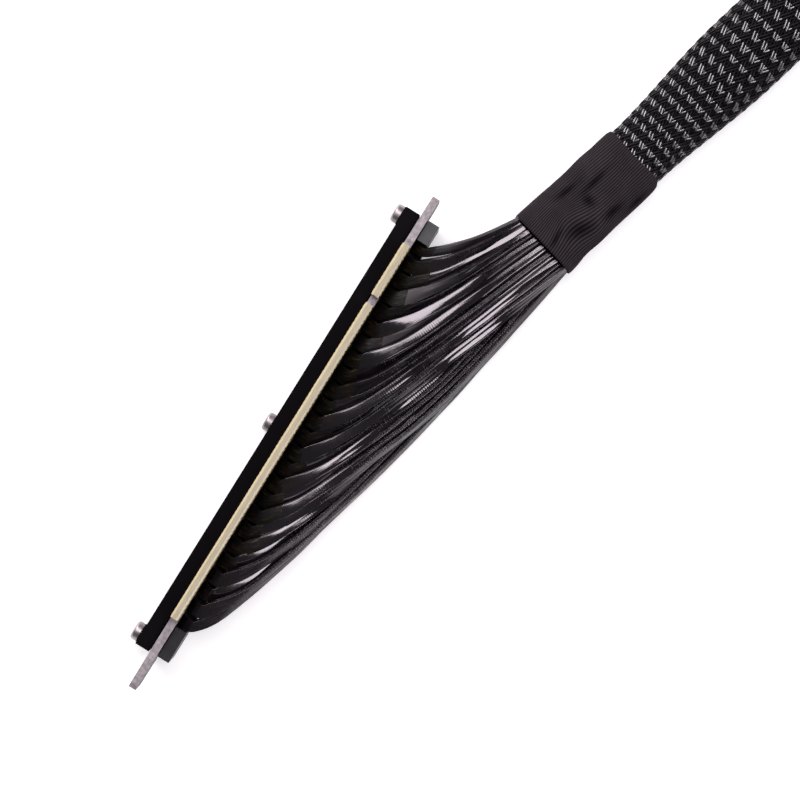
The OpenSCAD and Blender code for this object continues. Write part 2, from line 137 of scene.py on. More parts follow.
# ---------------------------------------------------------------- node helpers
class Nodes:
    def __init__(self, name):
        self.mat = bpy.data.materials.new(name)
        self.mat.use_nodes = True
        self.t = self.mat.node_tree
        self.bsdf = self.t.nodes["Principled BSDF"]

    def add(self, kind, **props):
        n = self.t.nodes.new(kind)
        for k, v in props.items():
            if k == "ins":
                for key, value in v.items():
                    n.inputs[key].default_value = value
            else:
                setattr(n, k, v)
        return n

    def link(self, a, b):
        self.t.links.new(a, b)

    def set(self, **kw):
        for k, v in kw.items():
            self.bsdf.inputs[k.replace("_", " ")].default_value = v

    def coord(self):
        return self.add("ShaderNodeTexCoord").outputs["Object"]

    def attr(self, name):
        return self.add("ShaderNodeAttribute", attribute_name=name).outputs["Fac"]

    def math(self, op, a, b=None, clamp=False):
        n = self.add("ShaderNodeMath", operation=op, use_clamp=clamp)
        for i, v in enumerate((a, b)):
            if v is None:
                continue
            if isinstance(v, (int, float)):
                n.inputs[i].default_value = v
            else:
                self.link(v, n.inputs[i])
        return n.outputs[0]

    def noise(self, scale, detail=2.0, rough=0.5, vec=None):
        n = self.add("ShaderNodeTexNoise", ins={"Scale": scale, "Detail": detail, "Roughness": rough})
        self.link(vec if vec is not None else self.coord(), n.inputs["Vector"])
        return n.outputs["Fac"]

    def vector(self, *parts):
        n = self.add("ShaderNodeCombineXYZ")
        for i, v in enumerate(parts):
            self.link(v, n.inputs[i])
        return n.outputs[0]

    def ramp(self, fac, stops, interpolation="LINEAR"):
        n = self.add("ShaderNodeValToRGB")
        n.color_ramp.interpolation = interpolation
        el = n.color_ramp.elements
        while len(el) < len(stops):
            el.new(0.5)
        for e, (p, c) in zip(el, stops):
            e.position = p
            e.color = c if len(c) == 4 else (*c, 1.0)
        self.link(fac, n.inputs["Fac"])
        return n.outputs["Color"]

    def mix(self, fac, a, b):
        n = self.add("ShaderNodeMix", data_type="RGBA")
        fs = [s for s in n.inputs if s.name == "Factor" and s.type == "VALUE"][0]
        sa = [s for s in n.inputs if s.name == "A" and s.type == "RGBA"][0]
        sb = [s for s in n.inputs if s.name == "B" and s.type == "RGBA"][0]
        for s, v in ((fs, fac), (sa, a), (sb, b)):
            if isinstance(v, (int, float)):
                s.default_value = v
            elif isinstance(v, tuple):
                s.default_value = (*v, 1.0) if len(v) == 3 else v
            else:
                self.link(v, s)
        return [s for s in n.outputs if s.type == "RGBA"][0]

    def bump(self, height, distance, strength=1.0, normal=None):
        n = self.add("ShaderNodeBump", ins={"Strength": strength, "Distance": distance})
        self.link(height, n.inputs["Height"])
        if normal is not None:
            self.link(normal, n.inputs["Normal"])
        return n.outputs["Normal"]

    def color(self, v):
        self.link(v, self.bsdf.inputs["Base Color"])

    def rough(self, v):
        self.link(v, self.bsdf.inputs["Roughness"])

    def normal(self, v):
        self.link(v, self.bsdf.inputs["Normal"])


def step(n, value, lo, hi):
    """0 below lo, 1 above hi."""
    m = n.add("ShaderNodeMapRange", interpolation_type="SMOOTHSTEP")
    n.link(value, m.inputs["Value"])
    m.inputs["From Min"].default_value = lo
    m.inputs["From Max"].default_value = hi
    return m.outputs["Result"]


# ---------------------------------------------------------------- materials
def moulded(name, dark, light, rough=(0.42, 0.58), grain=2600.0, depth=0.00002, spec=0.5):
    """Moulded plastic: fine grain, slow change of shade, a little change of gloss."""
    n = Nodes(name)
    slow = n.noise(180.0, 4.0, 0.6)
    fine = n.noise(grain, 3.0, 0.6)
    n.color(n.ramp(slow, [(0.3, dark), (0.7, light)]))
    n.rough(n.ramp(slow, [(0.3, (rough[0],) * 3), (0.7, (rough[1],) * 3)]))
    n.normal(n.bump(fine, depth, 0.5))
    n.set(Specular_IOR_Level=spec)
    return n.mat


def metal(name, dark, light, rough=(0.16, 0.3), scale=900.0, depth=0.000004):
    n = Nodes(name)
    slow = n.noise(scale, 4.0, 0.6)
    fine = n.noise(scale * 6, 2.0, 0.5)
    n.color(n.ramp(slow, [(0.3, dark), (0.7, light)]))
    n.rough(n.ramp(slow, [(0.3, (rough[0],) * 3), (0.7, (rough[1],) * 3)]))
    n.normal(n.bump(fine, depth, 0.4))
    n.set(Metallic=1.0)
    return n.mat


m_cover = moulded("cover_black", (0.0022, 0.0018, 0.0023), (0.0036, 0.0029, 0.0037), (0.5, 0.62), spec=0.03)
m_bar = moulded("bar_black", (0.011, 0.0095, 0.0115), (0.016, 0.014, 0.0165), (0.34, 0.46), spec=0.5)


def clamp_material():
    """Satin black moulding, painted lighter on the raised ends and painted darker in the channel under the cables:
    painted light and painted shade, switched by height.
    """
    n = Nodes("clamp_black")
    sep = n.add("ShaderNodeSeparateXYZ")
    n.link(n.coord(), sep.inputs[0])
    # painted shade in the low channel under the cables and painted light on the raised ends, switched by the height of
    # the surface
    high = step(n, sep.outputs[2], 7.7 * MM, 9.0 * MM)
    slow = n.noise(180.0, 4.0, 0.6)
    fine = n.noise(2600.0, 3.0, 0.6)
    low = n.ramp(slow, [(0.3, (0.0022, 0.0018, 0.0023)), (0.7, (0.0036, 0.0029, 0.0037))])
    end = n.ramp(slow, [(0.3, (0.0045, 0.0036, 0.0046)), (0.7, (0.0075, 0.0062, 0.0078))])
    n.color(n.mix(high, low, end))
    n.rough(n.mix(high, (0.9, 0.9, 0.9), n.ramp(slow, [(0.3, (0.30,) * 3), (0.7, (0.42,) * 3)])))
    n.normal(n.bump(fine, 0.00002, 0.5))
    n.set(Specular_IOR_Level=0.45)
    return n.mat


m_clamp = clamp_material()
m_housing = moulded("slot_plastic", (0.010, 0.010, 0.011), (0.016, 0.016, 0.017), (0.35, 0.5), 3200.0)
m_base = moulded("base_black", (0.008, 0.008, 0.009), (0.013, 0.013, 0.014), (0.45, 0.6))
m_gold = metal("contact_gold", (0.46, 0.36, 0.18), (0.58, 0.46, 0.25), (0.42, 0.58))
m_nickel = metal("screw_nickel", (0.33, 0.298, 0.308), (0.48, 0.44, 0.45), (0.36, 0.54), 700.0)


def board_material():
    """Glass laminate: cream finger edge, silver plated ears and steps, dark masked faces."""
    n = Nodes("card_laminate")
    sep = n.add("ShaderNodeSeparateXYZ")
    n.link(n.coord(), sep.inputs[0])
    x, y, z = sep.outputs
    geo = n.add("ShaderNodeNewGeometry")
    nor = n.add("ShaderNodeSeparateXYZ")
    n.link(geo.outputs["True Normal"], nor.inputs[0])
    fine = n.noise(2400.0, 4.0, 0.7)
    # threads of the glass cloth show on the cut edge as short dashes along it
    mp = n.add("ShaderNodeMapping", ins={"Scale": (420.0, 2600.0, 900.0)})
    n.link(n.coord(), mp.inputs["Vector"])
    dash = n.noise(1.0, 3.0, 0.6, mp.outputs[0])
    core = n.ramp(dash, [(0.3, (0.350, 0.305, 0.208)), (0.7, (0.430, 0.380, 0.265))])
    # both bevels of the finger edge are painted lighter than the core for the light they catch; the right one is
    # painted brightest, a painted highlight
    left = n.ramp(dash, [(0.3, (0.54, 0.45, 0.22)), (0.7, (0.68, 0.58, 0.31))])
    right = n.ramp(dash, [(0.3, (0.76, 0.69, 0.45)), (0.7, (0.90, 0.83, 0.59))])
    edge = n.mix(step(n, y, (-1.25 + 0.34) * MM, (-1.25 + 0.44) * MM), core, left)
    edge = n.mix(step(n, y, (-1.25 - 0.36) * MM, (-1.25 - 0.46) * MM), edge, right)
    silver = n.ramp(n.noise(1100.0, 4.0, 0.75), [(0.30, (0.150, 0.132, 0.140)), (0.5, (0.265, 0.238, 0.248)), (0.70, (0.42, 0.385, 0.395))])
    cut = n.mix(step(n, z, 18.6 * MM, 19.4 * MM), silver, edge)
    mask = n.ramp(n.noise(300.0, 4.0, 0.6), [(0.3, (0.016, 0.010, 0.005)), (0.7, (0.034, 0.020, 0.008))])
    face = step(n, n.math("ABSOLUTE", nor.outputs[1]), 0.93, 0.97)
    n.color(n.mix(face, cut, mask))
    n.rough(n.ramp(fine, [(0.3, (0.42,) * 3), (0.7, (0.62,) * 3)]))
    n.normal(n.bump(fine, 0.00002, 0.5))
    return n.mat


m_board = board_material()


def slot_board_material():
    """Black solder mask over a faint pattern of tracks, cream cut edge."""
    n = Nodes("slot_laminate")
    geo = n.add("ShaderNodeNewGeometry")
    nor = n.add("ShaderNodeSeparateXYZ")
    n.link(geo.outputs["True Normal"], nor.inputs[0])
    sep = n.add("ShaderNodeSeparateXYZ")
    n.link(n.coord(), sep.inputs[0])
    x, y, z = sep.outputs
    wave = n.math("SINE", n.math("MULTIPLY", x, 2 * math.pi / (1.0 * MM)))
    track = step(n, wave, 0.1, 0.5)
    slow = n.noise(120.0, 4.0, 0.6)
    body = n.ramp(slow, [(0.3, (0.007, 0.009, 0.008)), (0.7, (0.013, 0.016, 0.013))])
    line = n.ramp(slow, [(0.3, (0.013, 0.016, 0.013)), (0.7, (0.021, 0.025, 0.020))])
    top = n.mix(track, body, line)
    cut = n.ramp(n.noise(2000.0, 3.0, 0.6), [(0.3, (0.30, 0.25, 0.14)), (0.7, (0.42, 0.36, 0.22))])
    n.color(n.mix(step(n, n.math("ABSOLUTE", nor.outputs[2]), 0.5, 0.8), cut, top))
    n.rough(n.ramp(slow, [(0.3, (0.22,) * 3), (0.7, (0.34,) * 3)]))
    n.normal(n.bump(track, 0.00003, 0.5))
    return n.mat


m_slot_board = slot_board_material()


def lane_material(name, rough, tick, base, ior, spec=0.5, glint_dots=0.0, crease=0.6):
    """Wrapped lane cable: gloss, fine turns of the wrap across it and creases along it, smooth near the board and in the collar's mouth."""
    n = Nodes(name)
    along = n.attr("along")
    left = n.attr("left")
    seed = n.attr("seed")
    speck = n.noise(1500.0, 3.0, 0.7)
    jitter = n.math("MULTIPLY", n.noise(700.0, 2.0, 0.5), 2.6)
    turn = n.math("ADD", n.math("MULTIPLY", along, 2 * math.pi / 0.50), n.math("ADD", jitter, n.math("MULTIPLY", seed, 40.0)))
    ridge = n.math("SINE", turn)
    grow = n.math("MULTIPLY", step(n, along, 8.0, 18.0), step(n, left, 8.0, 22.0))
    h = n.math("ADD", ridge, n.math("MULTIPLY", speck, 2.2))
    h = n.math("MULTIPLY", h, grow)
    slow = n.noise(240.0, 3.0, 0.6)
    fold = n.noise(1.0, 2.0, 0.5, n.vector(n.math("MULTIPLY", n.attr("round"), 2.4), n.math("MULTIPLY", along, 0.13), n.math("MULTIPLY", seed, 60.0)))
    h2 = n.math("ADD", n.math("MULTIPLY", h, tick), n.math("MULTIPLY", slow, 0.8))
    h2 = n.math("ADD", h2, n.math("MULTIPLY", n.math("MULTIPLY", fold, step(n, along, 2.0, 7.0)), 9.0 * crease))
    n.normal(n.bump(h2, 0.00002, 0.5))
    # painted shade and sheen: the colour goes darker and lighter along the creases, with the same fold noise that bends
    # them
    dark = n.ramp(fold, [(0.36, tuple((1 - 0.55 * crease) * c for c in base)), (0.66, tuple((1 + 0.75 * crease) * c for c in base))])
    # the first few mm from the board are painted darker than the lane, as painted shade where the board shades them,
    # with amber patches as a painted reflection of the gold board face
    amber = n.ramp(n.noise(420.0, 3.0, 0.6), [(0.50, tuple(0.7 * c for c in base)), (0.74, (0.016, 0.0098, 0.0040))])
    place = n.math("ADD", along, n.math("MULTIPLY", slow, 3.0))
    c = n.mix(step(n, place, 3.0, 6.0), amber, dark)
    # painted glints: light dots painted in the colour along the turns of the wrap
    if glint_dots:
        glint_mask = n.math("MULTIPLY", step(n, ridge, 0.2, 0.9), step(n, n.noise(1150.0, 2.0, 0.6), 0.52, 0.66))
        c = n.mix(n.math("MULTIPLY", glint_mask, n.math("MULTIPLY", step(n, along, 5.0, 12.0), step(n, left, 6.0, 16.0))), c, (glint_dots, glint_dots * 0.9, glint_dots))
    n.color(c)
    n.rough(n.ramp(speck, [(0.3, (rough * 0.8,) * 3), (0.75, (min(1.0, rough * 1.35),) * 3)]))
    n.set(IOR=ior, Specular_IOR_Level=spec, Specular_Tint=(1.0, 0.94, 0.99, 1.0))
    return n.mat


m_lane_gloss = lane_material("lane_gloss", 0.11, 0.22, (0.0075, 0.0060, 0.0080), 1.70, crease=0.25)
m_lane_wrap = lane_material("lane_wrap", 0.15, 0.8, (0.0066, 0.0050, 0.0070), 1.50, 0.42, 0.085, 1.0)
m_lane_dull = lane_material("lane_dull", 0.25, 1.0, (0.0130, 0.0102, 0.0133), 1.50, 0.5, 0.12, 1.0)
m_lane_satin = lane_material("lane_satin", 0.34, 0.6, (0.0090, 0.0072, 0.0095), 1.50, 0.6, 0.0, 0.7)


def tail_material():
    """Stripped and soldered start of a lane: dull black, painted near-black as painted shade where the board shades it,
    with amber patches as a painted reflection of the gold board face.
    """
    n = Nodes("lane_tail")
    along, seed = n.attr("along"), n.attr("seed")
    patch = n.noise(1.0, 3.0, 0.6, n.vector(n.math("MULTIPLY", n.attr("round"), 3.0), n.math("MULTIPLY", along, 0.55), n.math("MULTIPLY", seed, 60.0)))
    fine = n.noise(2200.0, 3.0, 0.6)
    # near-black painted shade, with amber patches as a painted reflection of the gold board face
    c = n.ramp(patch, [(0.46, (0.0026, 0.0020, 0.0020)), (0.60, (0.010, 0.0066, 0.0032)), (0.74, (0.056, 0.035, 0.013))])
    n.color(c)
    n.rough(n.ramp(patch, [(0.4, (0.48,) * 3), (0.7, (0.30,) * 3)]))
    n.normal(n.bump(n.math("ADD", fine, n.math("MULTIPLY", patch, 7.0)), 0.00003, 0.5))
    n.set(Specular_IOR_Level=0.20)
    return n.mat


m_tail = tail_material()


def tape_material():
    """Woven cloth tape: cross threads over the modelled ribs, grey nap, and painted shade in the grooves between the
    ribs and in the pressed-in creases.
    """
    n = Nodes("cloth_tape")
    along = n.attr("along")
    painted_shade = n.attr("painted_shade")
    slow = n.noise(230.0, 4.0, 0.6)
    fine = n.noise(3000.0, 3.0, 0.7)
    weft = n.math("SINE", n.math("ADD", n.math("MULTIPLY", along, 2 * math.pi / 0.30), n.math("MULTIPLY", fine, 2.0)))
    c = n.ramp(slow, [(0.3, (0.0225, 0.0184, 0.0212)), (0.72, (0.039, 0.0325, 0.0365))])
    c = n.mix(n.math("MULTIPLY", fine, 0.35), c, (0.064, 0.0560, 0.0605))
    # painted shade in the rib grooves and in the pressed-in creases
    c = n.mix(painted_shade, c, (0.0022, 0.0018, 0.0023))
    n.color(c)
    h = n.math("ADD", n.math("MULTIPLY", weft, 0.5), n.math("MULTIPLY", fine, 1.5))
    n.normal(n.bump(h, 0.00003, 0.5))
    n.rough(n.ramp(fine, [(0.3, (0.68,) * 3), (0.7, (0.86,) * 3)]))
    n.set(Specular_IOR_Level=0.05)
    return n.mat


m_tape = tape_material()


def filament_material(name, base, rough, ior, spec):
    n = Nodes(name)
    fine = n.noise(900.0, 3.0, 0.6)
    n.color(n.ramp(fine, [(0.3, tuple(0.7 * c for c in base)), (0.7, tuple(1.3 * c for c in base))]))
    n.rough(n.ramp(n.noise(420.0, 3.0, 0.6), [(0.3, (rough * 0.85,) * 3), (0.7, (rough * 1.15,) * 3)]))
    n.normal(n.bump(fine, 0.000004, 0.4))
    n.set(IOR=ior, Specular_IOR_Level=spec)
    return n.mat


# filaments are dull where they dive under; where they ride over, the crest is given a much lighter colour, a painted
# glint
m_fil = filament_material("braid_dull", (0.0036, 0.0028, 0.0038), 0.44, 1.5, 0.13)
m_painted_glint = filament_material("braid_painted_glint", (0.042, 0.038, 0.042), 0.26, 2.25, 0.5)
m_liner = moulded("braid_liner", (0.0016, 0.0013, 0.0017), (0.0030, 0.0025, 0.0031), (0.7, 0.85), 2600.0, 0.00003, 0.08)
m_core = moulded("core_black", (0.006, 0.005, 0.006), (0.010, 0.009, 0.010), (0.4, 0.6), 2600.0, 0.00003, 0.4)


# ---------------------------------------------------------------- route of collar, sleeve and core, in mm
AXIS = math.radians(14.75)
AX = np.array([math.cos(AXIS), -math.sin(AXIS), 0.0])
AC = np.array([math.sin(AXIS), math.cos(AXIS), 0.0])
MOUTH = np.array([60.4, -23.8, 5.6])
BEND_X, BEND_R, MID_X = 121.6, 80.0, 142.0
STRAIGHT = (BEND_X - MOUTH[0]) / math.cos(AXIS)
HALF = STRAIGHT + BEND_R * AXIS
MID_Y = MOUTH[1] - (BEND_X - MOUTH[0]) * math.tan(AXIS) - BEND_R * (1 - math.cos(AXIS))
COLLAR_L = 25.3
SLEEVE_IN = 12.0


def route(s):
    """Point and direction at length s from the first collar's mouth."""
    s = np.asarray(s, float)
    far = s > HALF
    h = np.where(far, 2 * HALF - s, s)
    g = np.where(h <= STRAIGHT, AXIS, AXIS - (h - STRAIGHT) / BEND_R)
    x = np.where(h <= STRAIGHT, MOUTH[0] + h * AX[0], MID_X - BEND_R * np.sin(g))
    y = np.where(h <= STRAIGHT, MOUTH[1] + h * AX[1], MID_Y + BEND_R * (1 - np.cos(g)))
    x = np.where(far, 2 * MID_X - x, x)
    p = np.stack([x, y, np.full_like(x, MOUTH[2])], -1)
    d = np.stack([np.cos(g), np.where(far, np.sin(g), -np.sin(g)), np.zeros_like(g)], -1)
    return p, d


def side_up(d):
    s = np.stack([-d[..., 1], d[..., 0], np.zeros_like(d[..., 0])], -1)
    return s, np.broadcast_to(np.array([0.0, 0.0, 1.0]), s.shape)


def swell(s):
    return soft((np.minimum(s, 2 * HALF - s) - COLLAR_L) / 30.0)


def around(u, a, b, k):
    """Points (side, up) and outward normals at shares u of the way round an oval, for each half size a, b."""
    q = np.linspace(0, 2 * np.pi, 961)
    out_p = np.zeros(u.shape + (2,))
    out_n = np.zeros(u.shape + (2,))
    cq, sq = spow(np.cos(q), k), spow(np.sin(q), k)
    for i in range(u.shape[0]):
        x, y = a[i] * cq, b[i] * sq
        seg = np.hypot(np.diff(x), np.diff(y))
        l = np.concatenate([[0], np.cumsum(seg)])
        f = (u[i] % 1.0) * l[-1]
        px, py = np.interp(f, l, x), np.interp(f, l, y)
        e = 0.12
        x1, y1 = np.interp((f + e) % l[-1], l, x), np.interp((f + e) % l[-1], l, y)
        x0, y0 = np.interp((f - e) % l[-1], l, x), np.interp((f - e) % l[-1], l, y)
        tx, ty = x1 - x0, y1 - y0
        h = np.hypot(tx, ty)
        out_p[i] = np.stack([px, py], -1)
        out_n[i] = np.stack([ty / h, -tx / h], -1)
    return out_p, out_n


def round_length(a, b, k):
    q = np.linspace(0, 2 * np.pi, 961)
    x, y = np.outer(a, spow(np.cos(q), k)), np.outer(b, spow(np.sin(q), k))
    return np.hypot(np.diff(x, axis=1), np.diff(y, axis=1)).sum(1)


# ---------------------------------------------------------------- braided sleeve
S0, S1 = COLLAR_L - SLEEVE_IN, 2 * HALF - COLLAR_L + SLEEVE_IN
FIL_N = 32
FIL_W = 0.25
FIL_H = 0.135
FIL_LIFT = 0.185
FIL_PAIR = 0.33
BRAID = math.tan(math.radians(24.0))


def sleeve_size(s, inset):
    return 6.85 + 1.75 * swell(s) - inset, 4.85 + 0.75 * swell(s) - inset


def sleeve_liner():
    s = np.linspace(S0, S1, 150)
    a, b = sleeve_size(s, 0.70)
    n = 64
    p, nr = around(np.tile(np.arange(n) / n, (len(s), 1)), a, b, 0.92)
    c, d = route(s)
    sd, up = side_up(d)
    v = c[:, None, :] + p[..., :1] * sd[:, None, :] + p[..., 1:] * up[:, None, :]
    verts = v.reshape(-1, 3)
    faces = grid_faces(len(s), n).tolist()
    faces.append(list(range(n - 1, -1, -1)))
    faces.append([(len(s) - 1) * n + j for j in range(n)])
    ob = make_object("sleeve_liner", verts, faces, [m_liner])
    return ob, c


def filaments(name, hand, beside, ride):
    """One filament of each pair of one hand: every pair runs over two and under two of the other hand."""
    s = np.linspace(S0, S1, 258)
    a, b = sleeve_size(s, 0.345)
    length = round_length(a, b, 0.92)
    turn = np.concatenate([[0], np.cumsum(np.diff(s) * BRAID * 2 / (length[1:] + length[:-1]))])
    k = np.arange(FIL_N)
    u = k[None, :] / FIL_N + hand * turn[:, None]
    phase = 2 * k[None, :] + hand * 2 * FIL_N * turn[:, None]
    wave = np.cos(2 * np.pi * (phase - 0.5) / 4.0)
    lift = hand * FIL_LIFT * wave
    u = u + beside * FIL_PAIR / length[:, None]
    # a little slack, so that no two filaments lie quite alike
    f1, f2 = rng.uniform(0, 6.28, FIL_N), rng.uniform(0, 6.28, FIL_N)
    u = u + 0.0008 * np.sin(s[:, None] / 2.9 + f1) + 0.0010 * np.sin(s[:, None] / 6.1 + f2)
    p, nr = around(u, a, b, 0.92)
    c, d = route(s)
    sd, up = side_up(d)
    q = c[:, None, :] + p[..., :1] * sd[:, None, :] + p[..., 1:] * up[:, None, :]
    n3 = nr[..., :1] * sd[:, None, :] + nr[..., 1:] * up[:, None, :]
    q = q + lift[..., None] * n3
    t = unit(np.gradient(q, axis=0))
    n3 = unit(n3 - (n3 * t).sum(-1, keepdims=True) * t)
    bn = np.cross(t, n3)
    m = 5
    ang = np.arange(m) / m * 2 * np.pi + 0.5 * np.pi
    ring = q[:, :, None, :] + FIL_W * np.cos(ang)[None, None, :, None] * bn[:, :, None, :] + FIL_H * np.sin(ang)[None, None, :, None] * n3[:, :, None, :]
    verts = ring.transpose(1, 0, 2, 3).reshape(-1, 3)
    rings = len(s)
    faces = []
    for i in range(FIL_N):
        faces.append(grid_faces(rings, m, i * rings * m))
    faces = np.concatenate(faces).tolist()
    for i in range(FIL_N):
        o = i * rings * m
        faces.append([o + j for j in range(m - 1, -1, -1)])
        faces.append([o + (rings - 1) * m + j for j in range(m)])
    # the stretch of each float that gets the painted glint
    glint_phase = np.cos(2 * np.pi * (phase + (0.5 if hand > 0 else -2.5)) / 4.0)
    over = (0.5 * (glint_phase[1:] + glint_phase[:-1]) > ride).T
    index = np.repeat(over.reshape(-1), m).astype(int).tolist() + [0] * (2 * FIL_N)
    return make_object(name, verts, faces, [m_fil, m_painted_glint], index)


liner, liner_path = sleeve_liner()
own(liner, "sleeve_braid", "braided_sleeve")
braid = [own(filaments(name, hand, beside, ride), "sleeve_braid") for name, hand, beside, ride in (
    ("braid_right_a", 1, -1, 0.86), ("braid_right_b", 1, 1, 0.86), ("braid_left_a", -1, -1, 0.70), ("braid_left_b", -1, 1, 0.70))]


# ---------------------------------------------------------------- tape collars
def collar(name, far):
    """Ribbed tape wound round the fan and the sleeve's end, drawn in and creased by hand."""
    ribs, per = 82, 8
    n = ribs * per
    s = np.linspace(0.0, COLLAR_L, 64)
    ss, uu = np.meshgrid(s, np.arange(n) / n, indexing="ij")
    ph = 1.7 if far else 0.0
    # ribs wander a little, and swing round a bump near the fan's end
    swing = 0.0040 * np.sin(ss / 4.1 + 3.0 * np.sin(2 * np.pi * uu + ph)) + 0.0025 * np.sin(ss / 2.3 + 8 * np.pi * uu + ph)
    top = np.exp(-(((uu - 0.265 + 0.5) % 1.0 - 0.5) / 0.075) ** 2)
    swing = swing - 0.034 * top * (np.exp(-((ss - 6.2) / 4.2) ** 2) - np.exp(-(6.2 / 4.2) ** 2) * (1 - soft(ss / 6.0)))
    low = np.exp(-(((uu - 0.37 + 0.5) % 1.0 - 0.5) / 0.045) ** 2)
    swing = swing + 0.018 * low * np.exp(-((ss - 9.5) / 3.2) ** 2)
    a0 = 7.9 - 0.5 * ss[:, 0] / COLLAR_L - 0.16
    b0 = np.full(len(s), 5.2 - 0.14)
    k = 0.62
    p, nr = around(uu + swing, a0, b0, k)
    rib = np.abs(np.sin(np.pi * uu * ribs)) ** 0.8
    h = 0.17 * (rib - 1.0) + 0.10
    # slow dents, sharp creases
    dent = 0.10 * np.sin(ss / 5.2 + 5.0 * np.sin(2 * np.pi * uu + 0.7 + ph)) + 0.06 * np.sin(ss / 2.4 + 12.0 * uu * np.pi + ph)
    painted_shade = np.zeros_like(ss)
    for cu, cs, lu, ls, lean, deep in (
            (0.335, 7.2, 0.022, 2.6, 0.008, 0.34), (0.205, 15.8, 0.014, 3.2, -0.010, 0.36), (0.255, 12.4, 0.030, 0.9, 0.0, 0.22),
            (0.365, 14.5, 0.020, 2.2, 0.006, 0.30), (0.150, 10.5, 0.016, 2.4, 0.006, 0.26), (0.42, 19.5, 0.02, 2.4, 0.0, 0.22),
            (0.285, 2.6, 0.012, 2.0, 0.004, 0.14), (0.62, 8.0, 0.03, 3.0, 0.01, 0.25), (0.80, 15.0, 0.03, 3.0, -0.01, 0.25),
            (0.99, 13.2, 0.06, 2.6, 0.0, 0.34), (0.50, 5.6, 0.06, 2.2, 0.0, 0.36), (0.01, 20.5, 0.05, 2.2, 0.0, 0.14)):
        du = ((uu - cu - lean * (ss - cs) / 4.0 + 0.5) % 1.0) - 0.5
        g = np.exp(-(du / lu) ** 2 - ((ss - cs) / ls) ** 2)
        painted_shade = np.maximum(painted_shade, g)
        h = h - deep * g
    h = h + dent * 0.9
    # the ends are turned in a little
    h = h - 0.16 * (1 - soft(ss / 0.5)) - 0.20 * (1 - soft((COLLAR_L - ss) / 0.7))
    sc = s + 0.0
    c, d = route(np.where(True, sc, sc))
    sd, up = side_up(d)
    q2 = p + h[..., None] * nr
    # the far corner of the sleeve's end is folded round
    along = ss - 0.9 * np.exp(-(((uu - 0.47 + 0.5) % 1.0 - 0.5) / 0.05) ** 2) * soft((ss - COLLAR_L + 3.0) / 3.0)
    along = along + 0.12 * np.sin(2 * np.pi * uu * 3 + ph) * soft((ss - COLLAR_L + 4.0) / 4.0)
    shift = (along - ss)[..., None] * d[:, None, :]
    v = c[:, None, :] + q2[..., :1] * sd[:, None, :] + q2[..., 1:] * up[:, None, :] + shift
    inner = np.stack([np.full(n, 0.0)])
    # inside wall, so that the tape has a thickness
    pi, ni = around(np.tile(np.arange(n) / n, (3, 1)) + swing[[0, 32, 63]], a0[[0, 32, 63]] - 0.34, b0[[0, 32, 63]] - 0.30, k)
    ci, di = c[[0, 32, 63]], d[[0, 32, 63]]
    si, ui = side_up(di)
    vi = ci[:, None, :] + pi[..., :1] * si[:, None, :] + pi[..., 1:] * ui[:, None, :] + shift[[0, 32, 63]]
    verts = np.concatenate([v.reshape(-1, 3), vi.reshape(-1, 3)])
    m = len(s)
    o = m * n
    faces = [grid_faces(m, n)]
    faces.append(grid_faces(3, n, o)[:, ::-1])
    j = np.arange(n)
    j1 = (j + 1) % n
    faces.append(np.stack([j1, j, o + j, o + j1], -1))
    e0, e1 = (m - 1) * n, o + 2 * n
    faces.append(np.stack([e0 + j, e0 + j1, e1 + j1, e1 + j], -1))
    faces = np.concatenate(faces)
    # the grooves between the ribs and the creases get painted shade in the colour
    groove_shade = np.clip((0.80 - rib) / 0.5, 0, 1) * 0.96
    pr = np.concatenate([np.clip(painted_shade * 0.85 + groove_shade, 0, 1).ravel(), np.ones(3 * n)])
    al = np.concatenate([ss.ravel(), np.zeros(3 * n)])
    if far:
        verts = verts * np.array([-1.0, 1.0, 1.0]) + np.array([2 * MID_X, 0, 0])
        faces = faces[:, ::-1]
    return make_object(name, verts, faces.tolist(), [m_tape], floats={"painted_shade": pr, "along": al})


tape_a = own(collar("tape_board_end", False), "cloth_tape", "board_collar")
tape_b = own(collar("tape_slot_end", True), "cloth_tape", "slot_collar")


# ---------------------------------------------------------------- lane cables
LANES, UPPER_N, FIRST_LOW = 25, 14, 19
LANE_X0, LANE_X1 = 46.45, -40.6
LANE_Y, CORE_Z, LAYER = -4.625, 5.6, 2.05
LANE_W, LANE_T = 1.9, 0.95


def end_a(i):
    return 6.5 - i if i < UPPER_N else (-2.5 - (i - UPPER_N) if i < FIRST_LOW else -1.5 - (i - FIRST_LOW))


def end_z(i):
    return CORE_Z + (LAYER if i < UPPER_N else (0.0 if i < FIRST_LOW else -LAYER))


def drop(x):
    return 3.6 * (1 - np.exp(-x / 6.0))


